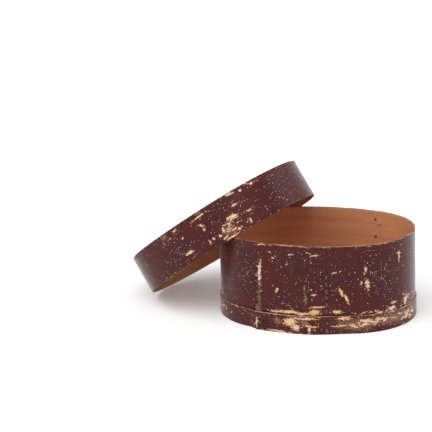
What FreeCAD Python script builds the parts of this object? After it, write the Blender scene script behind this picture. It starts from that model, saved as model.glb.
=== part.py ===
import FreeCAD, Part

import math
import os

from FreeCAD import Placement, Rotation, Vector

# Body, in millimetres. The origin is the middle of the foot, X runs along the box and +Z is up
BODY_LENGTH = 300.0
BODY_WIDTH = 216.0
BODY_HEIGHT = 134.0
END_RADIUS = 100.0
WALL = 3.2
BASE_THICKNESS = 8.0

# Hoop round the foot
HOOP_HEIGHT = 28.0
HOOP_THICKNESS = 2.0

# Laps, as places along the front wall. Each board runs under its own outer end
LAYER_GAP = 0.15
BODY_LAP_END = -72.0
BODY_LAP_FOOT = 16.0
BODY_LAP_TIP = 46.0
BODY_LAP_LEVEL = 54.0
HOOP_LAP_END = -70.0
HOOP_LAP_LEVEL = 60.0
HOOP_STEP_START = -80.5
TIP_THICKNESS = 0.4
WORN_CORNER_LENGTH = 11.0
WORN_CORNER_DEPTH = 4.0
CUT_MARGIN = 1.0

# Lid, in its own frame with the open edge at z = 0
LID_HEIGHT = 62.0
LID_WALL = 2.8
LID_BOARD_THICKNESS = 6.0
LID_CLEARANCE = 1.6

# Lid at rest, leaning with its low end on the ground and two places on the rim of the body
LID_HEADING = -8.7
LID_TILT = -34.7
LID_ROLL = -5.32
LID_CENTRE = Vector(-140.0, 25.0, 88.85)

# Lacing, a flat strip that runs in and out through slits
LACE_WIDTH = 3.0
LACE_THICKNESS = 0.9
LACE_EDGE = 0.36
LACE_CROWN = 0.45
LACE_SEAT = 0.02
STITCH_PITCH = 10.5
END_LACE_PLACE = -63.0
END_LACE_SPAN = (32.0, 127.0)
INNER_LACE_PLACE = 38.0
INNER_LACE_SPAN = (32.0, 99.0)
HOOP_LACE_SPAN = (4.0, 26.0)
LID_LACE_PLACES = (-63.0, 36.0)
LID_LACE_SPAN = (7.0, 52.0)

# Whittled pegs, and cut tacks with a square shank and a hammered head
PEG_WIDTH = 3.2
PEG_FLATS = 6
PEG_DEPTH = 11.0
PEG_PROUD = 0.3
PEG_COUNT = 10
TACK_WIDTH = 1.4
TACK_HEAD_WIDTH = 4.2
TACK_HEAD_HEIGHT = 0.8
TACK_HEAD_FLATS = 8
TACK_HEAD_BEVEL = 0.5
TACK_SEAT = 0.03
TACK_POINT_COVER = 0.5
WALL_TACK_PLACE = 73.0
WALL_TACK_HEIGHTS = (92.0, 120.0)
HOOP_TACK_PLACE = -62.0
HOOP_TACK_HEIGHTS = (12.0, 21.0)


class Oval:
    """Oval of four tangent arcs. Its front wall faces -Y."""

    def __init__(self, length, width, end_radius):
        self.a = length / 2
        self.b = width / 2
        self.end_radius = end_radius
        self.end_centre = self.a - end_radius
        rest = self.b - end_radius
        self.side_centre = (self.end_centre**2 - rest**2) / (2 * rest)
        self.side_radius = self.b + self.side_centre
        self.join_angle = math.atan2(self.end_centre, self.side_centre)

    def inset(self, depth):
        return Oval(2 * (self.a - depth), 2 * (self.b - depth), self.end_radius - depth)

    def angle_at(self, x, offset=0.0):
        return math.asin(x / (self.side_radius + offset))

    def front(self, angle, offset=0.0):
        """Point of the front wall at an angle from -Y, a distance outside the oval."""
        radius = self.side_radius + offset
        return Vector(radius * math.sin(angle), self.side_centre - radius * math.cos(angle), 0)

    def end_point(self, side, angle, offset=0.0):
        radius = self.end_radius + offset
        return Vector(side * (self.end_centre + radius * math.cos(angle)), radius * math.sin(angle), 0)

    def around(self, offset=0.0):
        """Arcs from the front wall's left join, round the back, to its right join."""
        join = self.join_angle
        left = self.front(-join, offset)
        right = self.front(join, offset)
        back_left = Vector(left.x, -left.y, 0)
        back_right = Vector(right.x, -right.y, 0)
        back = Vector(0, self.b + offset, 0)
        return [
            arc(left, self.end_point(-1, 0, offset), back_left),
            arc(back_left, back, back_right),
            arc(back_right, self.end_point(1, 0, offset), right),
        ]

    def face(self, offset=0.0):
        left = self.front(-self.join_angle, offset)
        right = self.front(self.join_angle, offset)
        closing = arc(right, self.front(0, offset), left)
        return Part.Face(Part.Wire(self.around(offset) + [closing]))

    def wall_point(self, turn):
        """Point and outward direction at a turn of the direction, counted from +X."""
        direction = Vector(math.cos(turn), math.sin(turn), 0)
        limit = math.pi / 2 - self.join_angle
        from_axis = abs(math.atan2(direction.y, abs(direction.x)))
        if from_axis < limit:
            centre = Vector(math.copysign(self.end_centre, direction.x), 0, 0)
            return centre + direction * self.end_radius, direction
        centre = Vector(0, -math.copysign(self.side_centre, direction.y), 0)
        return centre + direction * self.side_radius, direction


def arc(start, middle, end):
    return Part.Arc(start, middle, end).toShape()


def line(start, end):
    return Part.LineSegment(start, end).toShape()


class Lap:
    """Where a board overlaps itself on the front wall, and how far its outer layer stands out."""

    def __init__(self, oval, thickness, end, foot, tip, level):
        self.oval = oval
        self.thickness = thickness
        self.end = oval.angle_at(end)
        self.foot = oval.angle_at(foot)
        self.tip = oval.angle_at(tip)
        self.level = oval.angle_at(level)
        self.lift = thickness + LAYER_GAP


def surface(oval, profile):
    """Arcs along the front wall through a profile of angles and offsets, rising evenly between them."""
    edges = []
    for (start, low), (end, high) in zip(profile, profile[1:]):
        middle = oval.front((start + end) / 2, (low + high) / 2)
        edges.append(arc(oval.front(start, low), middle, oval.front(end, high)))
    return edges


def offset_at(profile, angle):
    """Offset of a profile at an angle of the front wall."""
    for (start, low), (end, high) in zip(profile, profile[1:]):
        if min(start, end) <= angle <= max(start, end):
            return low + (high - low) * (angle - start) / (end - start)
    return profile[0][1]


def strip(oval, outer, inner, under, top, thickness, height):
    """Board bent round the oval. Four profiles on the front wall say how its two ends lie.

    The outer end has its outside and inside, and the inner end has its inside and outside.
    """
    edges = oval.around(outer[0][1]) + oval.around(outer[0][1] - thickness)
    for profile in (outer, inner, under, top):
        edges.extend(surface(oval, profile))
    edges.append(line(oval.front(*outer[-1]), oval.front(*inner[0])))
    edges.append(line(oval.front(*under[-1]), oval.front(*top[0])))
    wire = Part.Wire(Part.__sortEdges__(edges))
    return Part.Face(wire).extrude(Vector(0, 0, height))


def lapped_outside(lap):
    """Profile of a lapped board's outside, from the right end of the front wall to its outer end."""
    return [(lap.oval.join_angle, 0), (lap.level, 0), (lap.foot, lap.lift), (lap.end, lap.lift)]


def lapped_band(lap, height):
    """Bent board in one piece, feathered at its inner end and running over it to its outer end."""
    oval = lap.oval
    join = oval.join_angle
    thick = lap.thickness
    outer = lapped_outside(lap)
    inner = [(lap.end, LAYER_GAP), (lap.foot, LAYER_GAP), (lap.level, -thick), (join, -thick)]
    under = [(-join, -thick), (lap.tip, -thick)]
    top = [(lap.tip, TIP_THICKNESS - thick), (lap.foot, 0), (-join, 0)]
    return strip(oval, outer, inner, under, top, thick, height)


def hoop_tip_seat(body_lap):
    """Offset of the hoop's feathered tip, which lies on the slope of the body's lap."""
    return offset_at(lapped_outside(body_lap), body_lap.tip) + LAYER_GAP


def hoop_outside(body_lap):
    """Profile of the hoop's outside, from the right end of the front wall to the hoop's own end."""
    oval = body_lap.oval
    thick = HOOP_THICKNESS
    over_tip = hoop_tip_seat(body_lap) + TIP_THICKNESS + LAYER_GAP + thick
    high = body_lap.lift + thick + LAYER_GAP + thick
    return [
        (oval.join_angle, thick),
        (oval.angle_at(HOOP_LAP_LEVEL), thick),
        (body_lap.tip, over_tip),
        (body_lap.foot, high),
        (oval.angle_at(HOOP_LAP_END), high),
    ]


def hoop_band(body_lap):
    """Hoop that climbs the step of the body's lap and laps on itself over it."""
    oval = body_lap.oval
    thick = HOOP_THICKNESS
    low = body_lap.lift
    join = oval.join_angle
    step = oval.angle_at(HOOP_STEP_START)
    seat = hoop_tip_seat(body_lap)
    outer = hoop_outside(body_lap)
    inner = [(angle, offset - thick) for angle, offset in reversed(outer)]
    under = [(-join, 0), (step, 0), (body_lap.end, low), (body_lap.foot, low), (body_lap.tip, seat)]
    top = [(body_lap.tip, seat + TIP_THICKNESS), (body_lap.foot, low + thick)]
    top += [(body_lap.end, low + thick), (step, thick), (-join, thick)]
    return strip(oval, outer, inner, under, top, thick, HOOP_HEIGHT)


def worn_corner(lap, height):
    """Wedge worn off the top of the lap's free end."""
    oval = lap.oval
    outer = lap.lift + CUT_MARGIN
    start = oval.front(lap.end, outer)
    along = oval.front(lap.end + WORN_CORNER_LENGTH / oval.side_radius, outer) - start
    up = Vector(0, 0, 1)
    corner = start + up * height
    before = along * (-CUT_MARGIN / WORN_CORNER_LENGTH)
    points = [
        corner + before + up * CUT_MARGIN,
        corner + along + up * CUT_MARGIN,
        corner + along,
        corner + before - up * WORN_CORNER_DEPTH,
    ]
    outward = Vector(math.sin(lap.end), -math.cos(lap.end), 0)
    face = Part.Face(Part.makePolygon(points + points[:1]))
    return face.extrude(outward * (LAYER_GAP / 2 - outer))


def lace_row(oval, place, thickness, outside, span):
    """One strip that passes outside and inside by turns, along a row up the wall."""
    angle = oval.angle_at(place)
    inner_offset = -thickness - LACE_SEAT
    outer_offset = offset_at(outside, angle) + LACE_SEAT
    outward = Vector(math.sin(angle), -math.cos(angle), 0)
    along = Vector(math.cos(angle), math.sin(angle), 0)
    up = Vector(0, 0, 1)
    wall = oval.front(angle)
    half = STITCH_PITCH / 2

    def at(offset, z):
        return wall + outward * offset + up * z - along * (LACE_WIDTH / 2)

    def stitch(offset, side, z):
        low = at(offset, z)
        high = at(offset, z + half + LACE_THICKNESS)
        out_low = at(offset + side * LACE_EDGE, z)
        out_high = at(offset + side * LACE_EDGE, z + half + LACE_THICKNESS)
        crown = at(offset + side * (LACE_EDGE + LACE_CROWN), z + (half + LACE_THICKNESS) / 2)
        edges = [line(low, high), line(high, out_high), arc(out_high, crown, out_low), line(out_low, low)]
        return Part.Face(Part.Wire(edges)).extrude(along * LACE_WIDTH)

    def passage(z):
        corners = [
            at(inner_offset, z),
            at(outer_offset, z),
            at(outer_offset, z + LACE_THICKNESS),
            at(inner_offset, z + LACE_THICKNESS),
        ]
        return Part.Face(Part.makePolygon(corners + corners[:1])).extrude(along * LACE_WIDTH)

    count = int((span[1] - span[0]) // half)
    pieces = []
    for step in range(count):
        z = span[0] + step * half
        if step % 2 == 0:
            pieces.append(stitch(outer_offset, 1, z))
        else:
            pieces.append(stitch(inner_offset, -1, z))
        if step > 0:
            pieces.append(passage(z))
    return pieces[0].multiFuse(pieces[1:]).removeSplitter()


def flats(centre, axis, width, count):
    """Section of a bar, square to its axis, with a flat at the bottom. The width is across the flats."""
    up = Vector(0, 0, 1)
    side = axis.cross(up)
    radius = width / 2 / math.cos(math.pi / count)
    corners = []
    for index in range(count):
        turn = 2 * math.pi * (index + 0.5) / count
        corners.append(centre + side * (radius * math.cos(turn)) + up * (radius * math.sin(turn)))
    return Part.makePolygon(corners + corners[:1])


def pegs(oval, z, outside, lap_side):
    """Pegs driven square to the wall, as separate solids. The lap is on the wall facing lap_side."""
    solids = []
    for index in range(PEG_COUNT):
        turn = 2 * math.pi * (index + 0.5) / PEG_COUNT
        point, direction = oval.wall_point(turn)
        offset = outside[0][1]
        if direction.y * lap_side > 0 and abs(direction.x) < math.sin(oval.join_angle):
            offset = offset_at(outside, math.asin(-direction.x * lap_side))
        start = point + direction * (offset + PEG_PROUD) + Vector(0, 0, z)
        length = offset + PEG_PROUD + PEG_DEPTH
        section = Part.Face(flats(start, direction, PEG_WIDTH, PEG_FLATS))
        solids.append(section.extrude(direction * -length))
    return solids


def tack(point, outward, depth):
    """Iron tack with a low bevelled head, driven through a depth of wood that covers its point.

    The head stands just clear of the wall, whose curve would cut its flat underside.
    """
    seat = point + outward * TACK_SEAT
    length = depth + TACK_SEAT - TACK_POINT_COVER
    shank = Part.Face(flats(seat, outward, TACK_WIDTH, 4)).extrude(outward * -length)
    plate = Part.Face(flats(seat, outward, TACK_HEAD_WIDTH, TACK_HEAD_FLATS))
    head = plate.extrude(outward * TACK_HEAD_HEIGHT)
    rise = (seat + outward * TACK_HEAD_HEIGHT).dot(outward)
    rim = [edge for edge in head.Edges if abs(edge.CenterOfMass.dot(outward) - rise) < TACK_SEAT]
    return shank.fuse(head.makeChamfer(TACK_HEAD_BEVEL, rim))


def leaning(shape):
    """The lid's piece at its place against the body."""
    turn = Rotation(LID_HEADING, LID_TILT, LID_ROLL)
    moved = shape.copy()
    moved.Placement = Placement(LID_CENTRE, turn).multiply(moved.Placement)
    return moved


def half_turn(shape):
    """Turned about Z, so that what was made at the front stands at the back."""
    turned = shape.copy()
    turned.rotate(Vector(0, 0, 0), Vector(0, 0, 1), 180)
    return turned


def body():
    oval = Oval(BODY_LENGTH, BODY_WIDTH, END_RADIUS)
    lap = Lap(oval, WALL, BODY_LAP_END, BODY_LAP_FOOT, BODY_LAP_TIP, BODY_LAP_LEVEL)
    band = lapped_band(lap, BODY_HEIGHT).cut(worn_corner(lap, BODY_HEIGHT))
    hoop = hoop_band(lap)
    board = oval.inset(WALL).face().extrude(Vector(0, 0, BASE_THICKNESS))

    outside = lapped_outside(lap)
    end_lace = lace_row(oval, END_LACE_PLACE, WALL, outside, END_LACE_SPAN)
    inner_lace = lace_row(oval, INNER_LACE_PLACE, WALL, outside, INNER_LACE_SPAN)
    hoop_lace = lace_row(oval, INNER_LACE_PLACE, WALL, hoop_outside(lap), HOOP_LACE_SPAN)
    base_pegs = pegs(oval, BASE_THICKNESS / 2, hoop_outside(lap), -1)

    wall_tacks = []
    tack_angle = oval.angle_at(WALL_TACK_PLACE, -WALL)
    inner_face = oval.front(tack_angle, -WALL)
    inward = Vector(-math.sin(tack_angle), -math.cos(tack_angle), 0)
    for z in WALL_TACK_HEIGHTS:
        point = Vector(inner_face.x, -inner_face.y, z)
        wall_tacks.append(tack(point, inward, WALL))

    hoop_tacks = []
    hoop_angle = oval.angle_at(HOOP_TACK_PLACE)
    hoop_top = hoop_outside(lap)[-1][1]
    outward = Vector(math.sin(hoop_angle), -math.cos(hoop_angle), 0)
    for z in HOOP_TACK_HEIGHTS:
        point = oval.front(hoop_angle, hoop_top) + Vector(0, 0, z)
        hoop_tacks.append(tack(point, outward, hoop_top + WALL))

    driven = base_pegs + hoop_tacks
    hoop = hoop.cut(driven + [hoop_lace])
    board = board.cut(base_pegs)
    band = band.cut(driven + wall_tacks + [end_lace, inner_lace, hoop_lace])
    return {
        "base_board": board,
        "body_band": band,
        "base_hoop": hoop,
        "lap_end_lacing": end_lace,
        "lap_inner_lacing": Part.makeCompound([inner_lace, hoop_lace]),
        "base_pegs": Part.makeCompound(base_pegs),
        "wall_tacks": Part.makeCompound(wall_tacks),
        "hoop_tacks": Part.makeCompound(hoop_tacks),
    }


def lid():
    # The inside clears the body all round, and its lap at the front
    lap_room = WALL + LAYER_GAP
    inner_length = BODY_LENGTH + 2 * LID_CLEARANCE
    inner_width = BODY_WIDTH + 2 * LID_CLEARANCE + lap_room
    inner = Oval(inner_length, inner_width, END_RADIUS + LID_CLEARANCE + lap_room / 2)
    oval = inner.inset(-LID_WALL)
    lap = Lap(oval, LID_WALL, BODY_LAP_END, BODY_LAP_FOOT, BODY_LAP_TIP, BODY_LAP_LEVEL)
    rim = half_turn(lapped_band(lap, LID_HEIGHT))
    board = inner.face().extrude(Vector(0, 0, LID_BOARD_THICKNESS))
    board.translate(Vector(0, 0, LID_HEIGHT - LID_BOARD_THICKNESS))

    laces = []
    outside = lapped_outside(lap)
    for place in LID_LACE_PLACES:
        laces.append(half_turn(lace_row(oval, place, LID_WALL, outside, LID_LACE_SPAN)))

    lid_pegs = pegs(oval, LID_HEIGHT - LID_BOARD_THICKNESS / 2, outside, 1)
    rim = rim.cut(lid_pegs + laces)
    board = board.cut(lid_pegs)
    pieces = {
        "lid_board": board,
        "lid_rim": rim,
        "lid_lacing": Part.makeCompound(laces),
        "lid_pegs": Part.makeCompound(lid_pegs),
    }
    return {name: leaning(shape) for name, shape in pieces.items()}


def main():
    os.makedirs("parts", exist_ok=True)
    nodes = {**body(), **lid()}
    for name, shape in nodes.items():
        print(name, "solids", len(shape.Solids), "valid", shape.isValid(), "volume", round(shape.Volume))
        shape.exportStep("parts/" + name + ".step")


main()
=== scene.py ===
import math
from collections import namedtuple

import bpy
from bpy.props import FloatProperty, FloatVectorProperty, IntProperty, PointerProperty
from mathutils import Euler, Matrix, Vector, noise


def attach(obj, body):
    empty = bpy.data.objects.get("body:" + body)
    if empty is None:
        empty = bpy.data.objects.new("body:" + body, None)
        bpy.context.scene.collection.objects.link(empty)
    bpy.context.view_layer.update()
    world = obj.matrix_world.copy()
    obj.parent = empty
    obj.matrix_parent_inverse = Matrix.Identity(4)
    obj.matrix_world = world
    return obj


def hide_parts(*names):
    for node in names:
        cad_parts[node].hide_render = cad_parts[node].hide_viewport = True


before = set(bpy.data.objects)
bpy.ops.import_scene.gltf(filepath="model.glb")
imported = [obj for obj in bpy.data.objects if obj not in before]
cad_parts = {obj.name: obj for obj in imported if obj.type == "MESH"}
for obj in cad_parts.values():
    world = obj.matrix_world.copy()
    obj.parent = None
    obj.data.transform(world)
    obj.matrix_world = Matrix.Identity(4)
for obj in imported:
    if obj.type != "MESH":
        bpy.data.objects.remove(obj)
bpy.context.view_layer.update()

bl_info = {
    "name": "Oval bentwood box",
    "version": (1, 0, 0),
    "blender": (4, 5, 0),
    "location": "View3D > Sidebar > Bentwood box",
    "description": "Dresses an oval lapped and laced box with its lid leaning on the rim",
    "category": "Object",
}

OUTSIDE, INSIDE, EDGE = 0, 1, 2
FRONT, BACK = -1, 1
X_AXIS, Y_AXIS, Z_AXIS = Vector((1, 0, 0)), Vector((0, 1, 0)), Vector((0, 0, 1))
GRAIN_MAP = "grain"
CROWN = "crown"
MILLIMETRE = 0.001

# Gap between the layers of a lap, and the thickness of a feathered tip
LAYER_GAP = 0.00015
TIP_THICKNESS = 0.0004

# Step between the points of a bend, length of a bent board's faces, and points round a flat board
BEND_STEP = 0.002
COLUMN_LENGTH = 0.003
ROUND_POINTS = 128

# Bevels as shares of a board's thickness, the angle of the edges that get one, and of those shaded smooth
BENT_BEVEL = 0.2
FLAT_BEVEL = 0.1
SHARP_ANGLE = math.radians(60)
SMOOTH_ANGLE = math.radians(40)

# How squarely a face looks outwards or inwards to count as outside or inside
SQUARELY = 0.9

# Waves a metre of the finishes' noises, over all or by axis, along the grain first
CLOUDS = 17
PALE_CLOUDS = 95
STREAKS = (9, 520)
BRUSH_MARKS = (60, 900)
MOTTLE = (140, 260)
FLAKING = (105, 230)
RAGGEDNESS = (300, 560)
PITS = (420, 800)
FINE_GRAIN = (14, 900)
BROAD_GRAIN = (3, 60)
PORES = (90, 2600)
WOOD_STAINS = 14
FIBRES = (2600, 2600, 240)
LACING_PATCHES = 330
EDGE_RUBBING = 46
EDGE_GRAIN = 420
RUST_SPOTS = 420
RUST_PITS = 1400
PEG_WEAR = 300
PEG_PORES = 1900

# Waves a metre and reach of what shakes the outlines of flakes and specks
COARSE_SHAKE = (110, 0.0012)
FINE_SHAKE = (480, 0.0006)
SPECK_SHAKE = (600, 0.0004)

# What raggedness is multiplied by, and then has added, to eat into chips and rubs
CHIP_TEARING = (4.4, -2.3)
RUB_TEARING = (4.0, -2.2)

# Length of a flake of paint along and across the grain, and the cells that hold one speck each
FLAKE_SIZE = (0.001, 0.0006)
FINE_SPECK_CELL = 0.0028
SPECK_CELL = 0.0045

# A cell's chance of a speck: what crowding adds, its usual top, and where the speck is full
CROWDING = 0.6
TOP_CHANCE = 1.3
FULL_CHANCE = 1.5

# Radius and soft edge of a full speck, as shares of its cell
SPECK_RADIUS = 0.36
SPECK_EDGE = 0.07

# Loss of paint from which wood and the thin ground show
BARE_LOSS = (0.80, 0.815)
THIN_LOSS = (0.765, 0.80)

# Depths of the finishes' relief
PAINT_RELIEF = 0.00022
WOOD_RELIEF = 0.00012
LACING_RELIEF = 0.00015
FINE_RELIEF = 0.0001

# Ways that the lamps shine
SOFTBOX_WAY = Vector((0.3, 0.65, -1.0))
SIDE_LIGHT_WAY = Vector((-1.0, -0.15, -0.3))


def linear(red, green, blue):
    """Scene colour of an sRGB colour given from 0 to 255."""
    return tuple((value / 255) ** 2.2 for value in (red, green, blue))


def length(name, description, default):
    return FloatProperty(name=name, description=description, default=default, unit="LENGTH", precision=4)


def vector(name, description, default):
    """Property of two or three lengths."""
    return FloatVectorProperty(
        name=name, description=description, default=default, size=len(default), unit="LENGTH", precision=4
    )


def angle(name, description, degrees):
    return FloatProperty(name=name, description=description, default=math.radians(degrees), unit="ROTATION")


def level(name, description, default):
    return FloatProperty(name=name, description=description, default=default, min=0)


def count(name, description, default):
    return IntProperty(name=name, description=description, default=default, min=1)


def colour(name, description, red, green, blue):
    return FloatVectorProperty(
        name=name, description=description, default=linear(red, green, blue), subtype="COLOR", min=0, max=1
    )


class BodySizes(bpy.types.PropertyGroup):
    length: length("Length", "Outside length of the body", 0.3)
    width: length("Width", "Outside width of the body", 0.216)
    height: length("Height", "Height of the body", 0.134)
    end_radius: length("End radius", "Radius of the body's two ends", 0.1)
    wall: length("Wall", "Thickness of the bent board", 0.0032)
    base: length("Base", "Thickness of the base board", 0.008)
    lap_end: length("Lap end", "Place of the lap's free end along the front", -0.072)
    lap_foot: length("Lap foot", "Place where the outer layer has fully risen", 0.016)
    lap_tip: length("Lap tip", "Place of the feathered inner end", 0.046)
    lap_level: length("Lap level", "Place where the outer layer starts to rise", 0.054)
    corner_length: length("Corner length", "Length of the corner worn off the lap's free end", 0.011)
    corner_depth: length("Corner depth", "Depth of the corner worn off the lap's free end", 0.004)
    rows: count("Rows", "Rows of faces up the board", 45)


class HoopSizes(bpy.types.PropertyGroup):
    height: length("Height", "Height of the hoop", 0.028)
    thickness: length("Thickness", "Thickness of the hoop", 0.002)
    lap_end: length("Lap end", "Place of the hoop's free end", -0.07)
    lap_level: length("Lap level", "Place where the hoop starts to rise over its tip", 0.06)
    step: length("Step", "Place where the hoop starts to climb the body's lap", -0.0805)
    rows: count("Rows", "Rows of faces up the hoop", 11)


class LidSizes(bpy.types.PropertyGroup):
    height: length("Height", "Height of the lid", 0.062)
    wall: length("Wall", "Thickness of the lid's bent board", 0.0028)
    board: length("Board", "Thickness of the lid's flat board", 0.006)
    clearance: length("Clearance", "Room between the closed lid and the body", 0.0016)
    rows: count("Rows", "Rows of faces up the rim", 22)
    centre: vector("Centre", "Middle of the leaning lid's open edge", (-0.14, 0.025, 0.08885))
    lean_x: angle("Lean about X", "Turn of the lid about X, the first of three", -5.32)
    lean_y: angle("Lean about Y", "Turn of the lid about Y, the second", -34.7)
    lean_z: angle("Lean about Z", "Turn of the lid about Z, the last", -8.7)


class LacingSizes(bpy.types.PropertyGroup):
    width: length("Width", "Width of the lacing strip", 0.003)
    thickness: length("Thickness", "Thickness of the lacing strip", 0.0009)
    crown: length("Crown", "Height of a stitch above the wood", 0.0008)
    pitch: length("Pitch", "Distance from one outside stitch to the next", 0.0105)
    end_place: length("End row", "Place of the row by the lap's free end", -0.063)
    inner_place: length("Inner row", "Place of the row by the lap's inner end", 0.038)
    lid_inner_place: length("Lid's inner row", "Place of the row by the inner end of the lid's lap", 0.036)
    bare_height: length("Bare height", "Height round which the end row is worn bare", 0.088)
    bare_reach: length("Bare reach", "How far from that height it is bare", 0.02)
    end_span: vector("End row's span", "Foot and top of the row by the lap's free end", (0.032, 0.127))
    inner_span: vector("Inner row's span", "Foot and top of the row by the inner end", (0.032, 0.099))
    hoop_span: vector("Hoop's span", "Foot and top of the row through the hoop", (0.004, 0.026))
    lid_span: vector("Lid's span", "Foot and top of the lid's rows, from its open edge", (0.007, 0.052))


class Colours(bpy.types.PropertyGroup):
    paint: colour("Paint", "Dark red paint of the body and the lid", 76, 20, 18)
    dull: colour("Dull paint", "Paint that has turned greyer", 62, 23, 25)
    # Deep paint is also the colour of the painted shade along the crease above the hoop, and of the darker
    # patches.
    deep_paint_and_shade: colour("Deep paint", "Paint where it is thick and dirty", 34, 14, 12)
    faded: colour("Faded paint", "Paint thinned along the grain", 116, 60, 52)
    speck: colour("Speck", "Pale specks where the paint has been knocked", 216, 168, 146)
    chip: colour("Chip", "Bare wood where the paint has come off", 236, 196, 144)
    chip_pale: colour("Pale chip", "Bare wood at its palest", 236, 200, 172)
    ground: colour("Ground", "Ground coat round the chips and in specks", 174, 122, 94)
    rubbed: colour("Rubbed", "Thin brown paint where hands and shelves have rubbed", 138, 102, 78)
    inside: colour("Inside", "Bare wood of the inside", 208, 144, 104)
    inside_dark: colour("Inside grain", "Dark grain of the inside", 146, 86, 56)
    edge: colour("Edge", "Worn edges", 200, 152, 130)
    lacing: colour("Lacing", "Lacing strips where their paint has worn", 112, 84, 72)
    iron: colour("Iron", "Old iron tacks", 100, 68, 50)
    rust: colour("Rust", "Rust on the tacks", 128, 78, 52)
    floor: colour("Floor", "Pale studio floor", 252, 252, 252)


class StageSettings(bpy.types.PropertyGroup):
    distance: length("Distance", "Distance from the camera to its target", 2.4)
    azimuth: angle("Azimuth", "Camera turn about the box", 16.86)
    elevation: angle("Elevation", "Camera rise above level", 15.9)
    roll: angle("Roll", "Camera roll", -2.08)
    lens: FloatProperty(name="Lens", default=131.94, unit="CAMERA", description="Focal length")
    aside: length("Target aside", "Target's distance to the camera's right", -0.1518)
    target_height: length("Target height", "Height of the camera's target", 0.1547)
    floor_side: length("Floor", "Side of the floor", 12)
    softbox: level("Softbox", "Strength of the broad light from above", 2.0)
    softbox_angle: angle("Softbox angle", "How broad the light from above is", 75)
    side_light: level("Side light", "Strength of the light from the right", 0.9)
    side_light_angle: angle("Side light angle", "How broad the light from the right is", 50)
    fill: level("Fill", "Strength of the studio's walls as a light", 0.46)
    glow: level("Glow", "Light that the floor adds where it is seen", 0.15)


class BentwoodSettings(bpy.types.PropertyGroup):
    body: PointerProperty(type=BodySizes)
    hoop: PointerProperty(type=HoopSizes)
    lid: PointerProperty(type=LidSizes)
    lacing: PointerProperty(type=LacingSizes)
    colours: PointerProperty(type=Colours)
    stage: PointerProperty(type=StageSettings)


def settings():
    return bpy.context.scene.bentwood


class Oval:
    """Oval of four tangent arcs. Its front wall faces -Y."""

    def __init__(self, length, width, end_radius):
        half_length = length / 2
        half_width = width / 2
        rest = half_width - end_radius
        self.end_radius = end_radius
        self.end_centre = half_length - end_radius
        self.side_centre = (self.end_centre**2 - rest**2) / (2 * rest)
        self.side_radius = half_width + self.side_centre
        self.join = math.atan2(self.end_centre, self.side_centre)
        self.join_place = self.side_radius * math.sin(self.join)

    def turn_at(self, place):
        """Turn from the middle of the front to a place on it."""
        return math.asin(place / self.side_radius)

    def facing(self, turn, offset):
        """Point of the oval where it faces that way, turned from the front, which faces -Y."""
        direction = Vector((math.sin(turn), -math.cos(turn), 0))
        if abs(math.atan2(direction.y, abs(direction.x))) < math.pi / 2 - self.join:
            centre = Vector((math.copysign(self.end_centre, direction.x), 0, 0))
            return centre + direction * (self.end_radius + offset)
        centre = Vector((0, -math.copysign(self.side_centre, direction.y), 0))
        return centre + direction * (self.side_radius + offset)


def spread(start, end, radius):
    """Turns from start to end, about a step apart on that radius."""
    steps = max(2, round(abs(end - start) * radius / BEND_STEP))
    return [start + (end - start) * index / steps for index in range(steps)]


def level_at(profile, turn):
    """Offset of a profile of turns and offsets."""
    for (start, low), (end, high) in zip(profile, profile[1:]):
        if min(start, end) <= turn <= max(start, end):
            return low + (high - low) * (turn - start) / (end - start)
    return profile[-1][1]


class Bend:
    """Line of a board's inside, from its tip leftwards along the front and round to its outer end."""

    def __init__(self, oval, thickness, first, last):
        self.oval = oval
        self.thickness = thickness
        self.outer = [(oval.turn_at(place), offset) for place, offset in last]
        inner = [(oval.turn_at(place), offset) for place, offset in first]
        level = last[0][1]
        joins = (-oval.join, oval.join - math.pi, -oval.join - math.pi, oval.join - 2 * math.pi)
        radii = (oval.end_radius, oval.side_radius, oval.end_radius)
        start = spread(inner[0][0], -oval.join, oval.side_radius)
        self.points = [oval.facing(turn, level_at(inner, turn)) for turn in start]
        for first_join, last_join, radius in zip(joins, joins[1:], radii):
            self.points += [oval.facing(turn, level) for turn in spread(first_join, last_join, radius)]
        finish = spread(oval.join, self.outer[-1][0], oval.side_radius)
        self.points += [oval.facing(turn, level_at(self.outer, turn)) for turn in finish]
        self.points.append(oval.facing(*self.outer[-1]))
        self.reaches = [0.0]
        for before, after in zip(self.points, self.points[1:]):
            self.reaches.append(self.reaches[-1] + (after - before).length)
        self.length = self.reaches[-1]

    def at(self, place, side=FRONT):
        """Distance along the board to a place on the wall of that side, on the layer that shows."""
        for index in range(len(self.points) - 1, 0, -1):
            before, after = self.points[index - 1], self.points[index]
            if after.y * side > 0 and min(before.x, after.x) <= place <= max(before.x, after.x):
                share = (place - before.x) / (after.x - before.x)
                return self.reaches[index - 1] + share * (self.reaches[index] - self.reaches[index - 1])
        raise ValueError(f"The wall has no place {place}")

    def outside_level(self, place):
        return level_at(self.outer, self.oval.turn_at(place)) + self.thickness

    def curve(self):
        data = bpy.data.curves.new("bend", "CURVE")
        data.dimensions = "2D"
        spline = data.splines.new("POLY")
        spline.points.add(len(self.points) - 1)
        for point, place in zip(spline.points, self.points):
            point.co = (place.x, place.y, 0, 1)
        guide = bpy.data.objects.new("bend", data)
        bpy.context.collection.objects.link(guide)
        return guide


def body_oval():
    body = settings().body
    return Oval(body.length, body.width, body.end_radius)


def lid_inner_oval():
    body = settings().body
    clearance = settings().lid.clearance
    lap_room = body.wall + LAYER_GAP
    return Oval(
        body.length + 2 * clearance,
        body.width + 2 * clearance + lap_room,
        body.end_radius + clearance + lap_room / 2,
    )


def lid_oval():
    inner = lid_inner_oval()
    wall = settings().lid.wall
    half_length = inner.end_centre + inner.end_radius + wall
    half_width = inner.side_radius - inner.side_centre + wall
    return Oval(2 * half_length, 2 * half_width, inner.end_radius + wall)


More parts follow.
